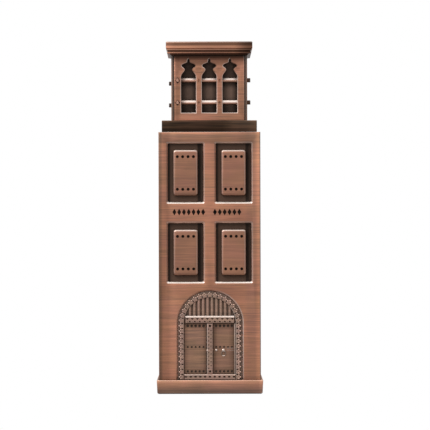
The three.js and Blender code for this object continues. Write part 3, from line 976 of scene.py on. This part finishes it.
roof = {
    "low": 127.45,
    "bead": 14.55,
    "cove": 15.85,
    "fascia": 16.31,
    "top": 132.6,
    "hollow": (0.14, 0.52),  # height where the hollow under the lower lip starts, and its rise
    "groove": (1.12, 0.26, 0.36),  # where the groove between the lips starts, its depth, half its height
}


def roofCasting():
    z, top = roof["low"], roof["top"]
    bead, cove, fascia = roof["bead"], roof["cove"], roof["fascia"]
    profile = [(bead - 0.2, z), (bead, z + 0.08), (bead + 0.04, z + 0.14)]
    start, rise = roof["hollow"]
    for i in range(1, 7):
        a = math.radians(90 * i / 6)
        profile.append((bead + 0.04 + (cove - 0.15 - bead) * (1 - math.cos(a)), z + start + rise * math.sin(a)))
    profile += [(cove, z + 0.78), (cove + 0.02, z + 0.98), (cove - 0.06, z + 1.12)]
    start, depth, half = roof["groove"]
    for i in range(1, 6):
        a = math.radians(180 * i / 6)
        profile.append((cove - 0.06 - depth * math.sin(a), z + start + half * (1 - math.cos(a))))
    profile += [(cove + out, z + up) for out, up in ((0.06, 1.86), (0.2, 1.98), (0.22, 2.3), (0.14, 2.42))]
    profile += [(fascia + out, z + up) for out, up in ((-0.2, 2.5), (-0.04, 2.58), (0, 2.75), (0, 3.4))]
    profile += [(fascia - inset, top - down) for inset, down in (
        (0, 0.35), (0.08, 0.1), (0.3, 0), (2.15, 0), (2.3, 0.08), (2.45, 0.6))]
    return loft("roof_casting", [squareLoop(half, height, 0.22 + 0.1 * (half > cove), steps=3)
                                 for half, height in profile])


def roofRule(at, to):
    # a painted highlight on upward slopes near the top
    return 0.0, 0.25 if 0.3 < to.y < 0.9 and at.y > roof["top"] - 1 else 0.0


finished(paint(roofCasting(), roofRule), "roof", "roof_cornice")
print("roof made")


door = {
    "floor": pocketFloor + gap,
    "bandOuter": 11.83,
    "bandFoot": 12.02,  # the low ground that the leaves are carved from
    "bandInner": 9.75,
    "spring": 26.45,
    "bandLow": 0.85,  # how far each level stands off the niche
    "bandHigh": 1.25,
    "leafReach": 1.4,
    "lobes": 17,  # carved leaves round the arch
    "legLobes": 11,
    "petals": ((0.0, 11.42, 0.42), (-0.31, 10.92, 0.40), (0.31, 10.92, 0.40)),  # place along, radius, size
    "gapPit": (10.22, 0.24),
    "foot": 5.3,
    "transom": (26.5, 29.3, 9.25, 1.5),
    "sill": (5.3, 7.35, 9.65, 1.4),
    "post": (1.13, 1.35),
    "leaf": (1.2, 9.65, 0.7),
    "bars": 10,
    "barPitch": 1.66,
    "barRadius": 0.63,
}
leafSpan = (door["sill"][1] + gap, door["transom"][0] - gap)

# half of one carved leaf of the arch: place along the band and reach outwards
leafHalf = [
    (0.5, 0.0), (0.42, 0.04), (0.45, 0.30), (0.36, 0.58), (0.22, 0.64), (0.19, 0.86), (0.08, 1.0), (0.0, 1.0)]


def leafPlaces():
    # a function from (along, radius) to a point for each carved leaf of the arch, the left and the right leg
    spring, foot = door["spring"], door["foot"]
    step = (spring - foot) / door["legLobes"]

    def onArch(i):
        def place(along, radius):
            a = math.pi * (i + 0.5 + along) / door["lobes"]
            return radius * math.cos(a), spring + radius * math.sin(a)
        return place

    def onLeg(side, i):
        return lambda along, radius: (side * radius, foot + (i + 0.5 + along) * step)

    arch = [onArch(i) for i in range(door["lobes"])]
    left, right = ([onLeg(side, i) for i in range(door["legLobes"])] for side in (-1, 1))
    return arch, left, right


def bandEdge():
    # the scalloped outer edge, up the right leg, over the arch and down the left leg
    reach = door["leafReach"]
    base = door["bandOuter"] - 0.02 - reach
    profile = leafHalf[:-1] + [(-t, f) for t, f in leafHalf[::-1]]
    arch, left, right = leafPlaces()
    points = [place(-t, base + reach * f) for place in right + arch for t, f in profile]
    points += [place(t, base + reach * f) for place in reversed(left) for t, f in profile]
    kept = points[:1]
    for p in points[1:]:
        if math.dist(p, kept[-1]) > 0.03:
            kept.append(p)
    return kept


def archBand():
    floor, inner, spring, foot = door["floor"], door["bandInner"], door["spring"], door["foot"]
    face = floor + door["bandHigh"]
    inside = lambda grow, rise: doorway(inner + grow, spring, foot + rise, 36)[::-1]
    ground = doorway(door["bandFoot"], spring, foot) + inside(0, 0)
    low = plate("low", [ground], floor, floor + door["bandLow"], 0.08)
    high = plate("high", [bandEdge() + inside(0.05, 0.02)], floor + 0.3, face, 0.13)
    paint(low, brushedFrom(face, floorTone=0.75))
    # the carved band gets a painted highlight on upper edges and on edges that face left
    paint(high, brushedFrom(face, top=0.3, sides=0.04, leftLit=0.5))
    arch, left, right = leafPlaces()
    places = arch + left + right
    pitRadius, pitSize = door["gapPit"]
    high = carve(high, [pit(*place(0.5, pitRadius), face, pitSize, 0.45, 10) for place in places], 1.5)
    petals = [ball("petal", *place(along, radius), face - 0.12, size, 0.75)
              for place in places for along, radius, size in door["petals"]]
    for petal in petals:
        # the fronts of the petals get a faint painted highlight
        paint(petal, lambda at, to: (0.0, 0.10 if to.z > 0.8 else 0.0))
    return mergePainted("arch_band_casting", [low, high] + petals)


def fanlight():
    floor, spring, reach = door["floor"], door["spring"], door["bandInner"] - gap
    base = door["transom"][1] + gap
    start = math.degrees(math.asin((base - spring) / reach))
    parts = [plate("back", [arcPoints(0, spring, reach, start, 180 - start, 30)], floor, floor + 0.4)]
    for i in range(door["bars"]):
        middle = (i - (door["bars"] - 1) / 2) * door["barPitch"]
        section = arcPoints(middle, floor + 0.35, door["barRadius"], 0, 180, 9)
        parts.append(loft("bar", [[(x, -w, base) for x, w in section],
                                  [(x, -w, spring + math.sqrt(reach * reach - x * x)) for x, w in section]]))
    made = merge("fanlight_casting", parts)
    return paint(made, lambda at, to: (0.12, 0.0) if at.z > floor + 0.55 else (0.9, 0.0))


def barBlank(name, half, foot, top, proud, edge, topEdge=None):
    # a straight moulding; its upper edge may be bevelled more than the others
    floor = door["floor"]
    crown = topEdge or edge
    shape = lambda side, up: boxOutline(side - half, half - side, foot + side, top - up)
    return stacked(name, (shape(0, 0), floor), (shape(0, 0), floor + proud - crown * 0.85),
                   (shape(edge * 0.4, crown * 0.44), floor + proud - crown * 0.36),
                   (shape(edge, crown), floor + proud))


def notch(u, v, face, width, height, depth):
    # a three-sided nick; a negative height points it down
    flat = [(u - width / 2, v - height / 2), (u + width / 2, v - height / 2), (u, v + height / 2)]
    deep = [(u + (x - u) * 0.35, v + (y - v) * 0.35) for x, y in flat]
    return stacked("notch", (deep, face - depth), (flat, face + 0.04), (flat, face + 0.3))


transomCuts = {
    "pitch": 1.88,
    "levels": (28.1, 27.2),  # middles of the nicks that point down and up
    "nick": (1.3, 0.72, 0.42),  # width, height, depth
    "dot": (27.0, 0.17, 0.25),  # level, radius, depth
}


def transomBar():
    foot, top, half, proud = door["transom"]
    face = door["floor"] + proud
    made = barBlank("door_transom_casting", half, foot, top, proud, 0.15, 0.55)
    pitch = transomCuts["pitch"]
    down, up = transomCuts["levels"]
    width, height, depth = transomCuts["nick"]
    dotLevel, dotRadius, dotDepth = transomCuts["dot"]
    count = int(2 * (half - 0.6) / pitch)
    nicks = []
    for i in range(count + 1):
        u = (i - count / 2) * pitch
        nicks.append(notch(u, down, face, width, -height, depth))
        if i < count:
            nicks.append(notch(u + pitch / 2, up, face, width, height, depth))
            nicks.append(pit(u, dotLevel, face, dotRadius, dotDepth, 8))
    return carve(paint(made, brushedFrom(face, top=1.15, sides=0.1)), nicks, 1.1)


sillMarks = {"pitch": 1.8, "level": 6.4, "eachSide": 5, "bottom": (0.3, 0.16, 0.15), "mouth": (0.52, 0.34, 0.3)}


def sillBar():
    foot, top, half, proud = door["sill"]
    face = door["floor"] + proud
    made = barBlank("door_sill_casting", half, foot, top, proud, 0.15, 0.35)
    marks = []
    for i in range(-sillMarks["eachSide"], sillMarks["eachSide"] + 1):
        bottom, mouth = (roundedRectangle(i * sillMarks["pitch"], sillMarks["level"], *sillMarks[part], 3)
                         for part in ("bottom", "mouth"))
        marks.append(stacked("mark", (bottom, face - 0.3), (mouth, face + 0.05), (mouth, face + 0.3)))
    return carve(paint(made, brushedFrom(face, top=0.4, sides=0.1)), marks, 1.35)


postCuts = {
    "pits": ((25.5, 0.46, 0.6), (8.4, 0.42, 0.5)),  # level, radius, depth
    "teeth": (9.7, 24.4, 11),  # lowest and highest level, and how many stand on the left
    "tooth": (0.42, 0.5, 0.72, 0.3),  # distance from the middle, width, height, depth
    "knob": (-0.98, 16.3, 0.4),
}


def doorPost():
    half, proud = door["post"]
    face = door["floor"] + proud
    made = barBlank("door_post_casting", half, *leafSpan, proud, 0.28)
    cuts = [pit(0.05, height, face, radius, depth) for height, radius, depth in postCuts["pits"]]
    low, high, count = postCuts["teeth"]
    off, width, height, depth = postCuts["tooth"]
    step = (high - low) / (count - 1)
    for i in range(count):
        v = low + i * step
        cuts.append(notch(-off, v, face, width, height, depth))
        if i < count - 1:
            cuts.append(notch(off, v + step / 2, face, width, -height, depth))
    # painted highlights on upper edges and on edges that face left
    made = carve(paint(made, brushedFrom(face, top=0.3, sides=0.04, leftLit=0.4)), cuts, 1.4)
    u, v, radius = postCuts["knob"]
    # the knob gets a painted highlight
    knob = paint(ball("knob", u, v, face - 0.1, radius), lambda at, to: (0.0, 0.6))
    return mergePainted("door_post_casting", [made, knob])


def ball(name, u, v, w, radius, squash=1.0):
    angles = [math.radians(-90 + 180 * i / 8) for i in range(1, 8)]
    return stacked(name, *((ringPoints(u, v, radius * math.cos(a)), w + radius * squash * math.sin(a))
                           for a in angles))


def mergePainted(name, objects):
    # joins meshes and keeps what was painted on them
    tones = {key: [tone.value for obj in objects for tone in obj.data.attributes[key].data]
             for key in ("patina", "worn")}
    made = merge(name, objects)
    for key, values in tones.items():
        old = made.data.attributes.get(key)
        if old:
            made.data.attributes.remove(old)
        made.data.attributes.new(key, "FLOAT", "FACE").data.foreach_set("value", values)
    return made


leaf = {
    "bands": ((24.75, 26.25), (7.65, 9.15)),  # lowest and highest level of each sunk band
    "pits": (2.38, 1.48, 5),  # distance of the first from the middle, pitch, count
    # level, radius and depth of the pits, and how far the band that they stand in is let in
    "rows": ((25.5, 0.50, 0.42, 0.1), (17.55, 0.36, 0.3, 0.0), (8.4, 0.42, 0.36, 0.1)),
    "jamb": (0.45, 0.02),  # where the bead starts and ends, from the outer edge
    "bolt": (6.3, 9.0, 0.2),
    "boltLevels": (16.2, 17.0),
}


def jambRule(at, to):
    # a painted highlight where the bead faces out and left, painted shade on its other faces
    if to.z > 0.1 and to.x < 0.3:
        return 0.0, 0.30 if to.z > faceOn else 0.4
    return 0.5, 0.0


def doorLeaf(hand):
    inner, outer, proud = door["leaf"]
    floor = door["floor"]
    foot, top = leafSpan
    face = floor + proud
    u0, u1 = sorted((hand * inner, hand * outer))
    shape = lambda inset: boxOutline(u0 + inset, u1 - inset, foot + inset, top - inset)
    board = stacked("panel", (shape(0), floor), (shape(0), face - 0.12), (shape(0.12), face))
    paint(board, lambda at, to: (0.0, 0.0) if to.z > faceOn else (0.6, 0.0))
    if hand > 0:  # the bead down the jamb, painted with a highlight
        start, end = leaf["jamb"]
        bead = boxOutline(u1 - start, u1 - end, foot + 0.05, top - 0.05)
        jamb = plate("jamb", [bead], floor + 0.2, face + 0.3, 0.1)
        paint(jamb, jambRule)
    bands = [stacked("band", (boxOutline(u0 + 0.35, u1 - 0.35, low, high), face - 0.1),
                     (boxOutline(u0 + 0.25, u1 - 0.25, low - 0.1, high + 0.1), face + 0.1))
             for low, high in leaf["bands"]]
    board = carve(board, bands, 0.34)
    first, pitch, count = leaf["pits"]
    pits = [pit(hand * (first + i * pitch), height, face - sunk, radius, depth)
            for height, radius, depth, sunk in leaf["rows"] for i in range(count)]
    board = carve(board, pits, 1.5)
    if hand < 0:
        return board
    start, end, thick = leaf["bolt"]
    strokes = [plate("bolt", [boxOutline(start, end, v, v + thick)], face - 0.1, face + 0.12, 0.05)
               for v in leaf["boltLevels"]]
    for stroke in strokes:
        # the bolt strokes get a painted highlight
        paint(stroke, lambda at, to: (0.0, 0.22))
    return mergePainted("door_leaf", [board, jamb] + strokes)


pull = {
    "u": 5.15,
    "v": 16.4,
    "ring": 0.95,
    "wire": 0.2,
    "narrow": 0.8,  # width of the ring over its height
    "drop": 1.2,
    "turns": 28,
    "around": 10,
}
latch = {"u": 2.42, "v": 16.43, "radius": 0.52}
leafFace = door["floor"] + door["leaf"][2]


def ringPull():
    u, v, turns, around = pull["u"], pull["v"], pull["turns"], pull["around"]
    stud = ball("stud", u - 0.1, v, leafFace + 0.42, 0.6, 0.8)
    points = []
    for i in range(turns):
        a = 2 * math.pi * i / turns
        for j in range(around):
            b = 2 * math.pi * j / around
            r = pull["ring"] + pull["wire"] * math.cos(b)
            w = leafFace + 0.32 + pull["wire"] * math.sin(b)
            points.append((u + r * math.sin(a) * pull["narrow"], -w, v - pull["drop"] + r * math.cos(a)))
    faces = [[i * around + j, i * around + (j + 1) % around,
              ((i + 1) % turns) * around + (j + 1) % around, ((i + 1) % turns) * around + j]
             for i in range(turns) for j in range(around)]
    made = merge("door_pull_ring_casting", [stud, makeObject("ring", points, faces)])

    def rule(at, to):
        if math.dist((at.x, at.y), (u, v)) < 0.7 and at.z > leafFace + 0.3:
            return 0.0, 0.45  # the stud, with a painted highlight
        return (0.0, 0.3) if at.y < v - 1.95 else (0.75, 0.0)  # a painted highlight on the bottom of the ring only; the rest gets painted shade

    return paint(made, rule)


def latchStud():
    stud = ball("latch_stud_casting", latch["u"], latch["v"], leafFace + 0.4, latch["radius"])
    # the stud gets a painted highlight
    return paint(stud, lambda at, to: (0.0, 0.35))


for made, node, finish in ((archBand(), "arch_band", "relief"), (fanlight(), "fanlight", "relief"),
                           (transomBar(), "door_transom", "relief"), (sillBar(), "door_sill", "relief"),
                           (doorPost(), "door_post", "relief"), (ringPull(), "door_pull_ring", "latch"),
                           (latchStud(), "latch_stud", "latch")):
    finished(made, finish, node, quarter=0)
for hand, side in ((-1, "left"), (1, "right")):
    leafPiece = doorLeaf(hand)
    leafPiece.name = f"door_leaf_casting_{side}"
    finished(leafPiece, "leaf", f"door_leaf_{side}", quarter=0)
print("door made")


opener = {
    "half": 16.5,
    "low": 0.5,
    "thick": 2.0,
    "mouth": (14.0, 11.0, 7.0),  # half width, half depth and corner radius
    "tooth": (12.0, 2.2),  # width and reach
    "screws": 13.2,
    "head": 2.35,
    "shank": 1.25,
    "threadEnd": 10.4,
    "threadPitch": 0.45,
    "slot": (0.32, 0.6),
}


def mouthOutline():
    half, deep, r = opener["mouth"]
    tooth, reach = opener["tooth"]
    points = arcPoints(r - half, r - deep, r, 180, 270, 12) + arcPoints(half - r, r - deep, r, 270, 360, 12)
    points += arcPoints(half - r, deep - r, r, 0, 90, 12)[:-1]
    edge = [(tooth / 2 + 0.8, deep), (tooth / 2 + 0.2, deep - 0.25), (tooth / 2 - 0.2, deep - reach + 0.9),
            (tooth / 2 - 0.9, deep - reach + 0.35), (tooth / 4, deep - reach + 0.08), (0, deep - reach)]
    points += edge + [(-x, y) for x, y in edge[-2::-1]]
    points += arcPoints(r - half, deep - r, r, 90, 180, 12)[1:]
    return points


def openerPlate():
    half, base, thick = opener["half"], opener["low"], opener["thick"]
    outline = roundedRectangle(0, 0, half, half, 1.5, 6)
    made = plate("opener_plate_steel", [outline, mouthOutline()], 0, thick, 0.14)
    # the plate is drawn on the front face; lay it flat, looking down
    made.data.transform(Matrix.Translation((0, 0, base * mm)) @ Matrix.Rotation(-math.pi / 2, 4, "X"))
    made.data.transform(Matrix.Translation((0, 0, (thick + 2 * base) * mm)) @ Matrix.Diagonal((1, 1, -1, 1)))
    made.data.flip_normals()
    at, head, shank = opener["screws"], opener["head"] + 0.1, opener["shank"] + 0.1
    levels = ((head + 1, base - 1), (head, base), (shank, base + 1.15), (shank, base + thick + 1))
    sinks = [loft("sink", [inPlan(ringPoints(x * at, y * at, r, 48), z) for r, z in levels])
             for x in (-1, 1) for y in (-1, 1)]
    return carve(made, sinks)


def plateScrew(name, x, y):
    at, base, head, shank = opener["screws"], opener["low"] + gap, opener["head"], opener["shank"]
    levels = [(head - 0.12, base), (head, base + 0.1), (shank, base + 1.1)]
    z = base + 1.4
    while z < opener["threadEnd"]:
        levels += [(shank, z), (shank - 0.2, z + 0.22)]
        z += opener["threadPitch"]
    levels += [(shank - 0.3, z), (0.5, z + 0.3)]
    made = loft(name, [inPlan(ringPoints(x * at, y * at, r), height) for r, height in levels])
    half, depth = opener["slot"]
    slot = makeObject("slot", *boxParts((-head, -half, base - 1), (head, half, base + depth)))
    turn = Matrix.Rotation(math.radians(25 * x + 40 * y), 4, "Z")  # each screw stopped at its own angle
    slot.data.transform(Matrix.Translation((x * at * mm, y * at * mm, 0)) @ turn)
    return carve(made, [slot])


finished(openerPlate(), "steel", "opener_plate")
for i, (x, y) in enumerate(((1, 1), (-1, 1), (-1, -1), (1, -1))):
    finished(plateScrew(f"plate_screw_steel_{i + 1}", x, y), "steel", f"plate_screw_{i + 1}")
print("opener plate made")

# pieces whose plain shape is right keep it and take a finish
kept = {"tower_core": "core", "body_deck": "core", "stack_screw": "steel", "stack_washer": "steel"}
kept.update({f"corner_block_{i}": "core" for i in range(1, 5)})
for node, finish in kept.items():
    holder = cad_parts[node]
    for socket in holder.material_slots:
        socket.material = finishes[finish]


studio = {
    "floor": 3.0,
    "floorGlow": 0.50,  # how bright the metal sees the floor
    "horizon": 0.74,
    "top": 1.3,  # brightness straight overhead
    "leftToRight": 0.20,
    "window": ((-0.45, -0.50, 0.62), 0.35, 2.5),  # place, size and power of the lamp
    "windowAim": (0, 0, 0.07),
}


def paleFloor():
    half = studio["floor"] / mm
    floor = makeObject("floor", inPlan(boxOutline(-half, half, -half, half), -0.02), [[0, 1, 2, 3]])
    material = bpy.data.materials.new("paleFloor")
    board = Board(material)
    seen = board.node("ShaderNodeLightPath", output=0)
    light = board.node("ShaderNodeEmission", {}, {"Color": board.mix(seen, grey(studio["floorGlow"]), grey(1))})
    board.node("ShaderNodeOutputMaterial", {}, {"Surface": light})
    floor.data.materials.append(material)


def softWorld():
    world = bpy.data.worlds.new("studio")
    bpy.context.scene.world = world
    board = Board(world)
    direction = board.node("ShaderNodeTexCoord", output=0)
    across, height = (board.node("ShaderNodeSeparateXYZ", {}, {0: direction}, output=i) for i in (0, 2))
    rise = board.spread(height, 0.18, 0.85)
    brightness = studio["horizon"] + rise * (studio["top"] - studio["horizon"]) - across * studio["leftToRight"]
    seen = board.node("ShaderNodeLightPath", output=0)
    strength = brightness * (1.0 - seen) + seen
    glow = board.node("ShaderNodeBackground", {}, {"Color": grey(1), "Strength": strength})
    board.node("ShaderNodeOutputWorld", {}, {"Surface": glow})


def windowLight():
    lamp = bpy.data.lights.new("window", "AREA")
    place, lamp.size, lamp.energy = studio["window"]
    made = linked("window", lamp)
    made.location = place
    made.rotation_euler = (Vector(studio["windowAim"]) - Vector(place)).to_track_quat("-Z", "Y").to_euler()


view = {
    "distance": 1.092,
    "height": 0.0622,
    "lens": 239.1,
    "shift": (0.0126, 0.0309),
    "roll": 0.15,
}


def addCamera():
    data = bpy.data.cameras.new("camera")
    data.lens = view["lens"]
    data.sensor_width = 36
    data.shift_x, data.shift_y = view["shift"]
    data.clip_end = 20
    made = linked("camera", data)
    made.location = (0, -view["distance"], view["height"])
    made.rotation_euler = (math.pi / 2, math.radians(view["roll"]), 0)
    bpy.context.scene.camera = made


paleFloor()
softWorld()
windowLight()
addCamera()
bpy.context.scene.view_settings.view_transform = "Standard"
print("stage made")
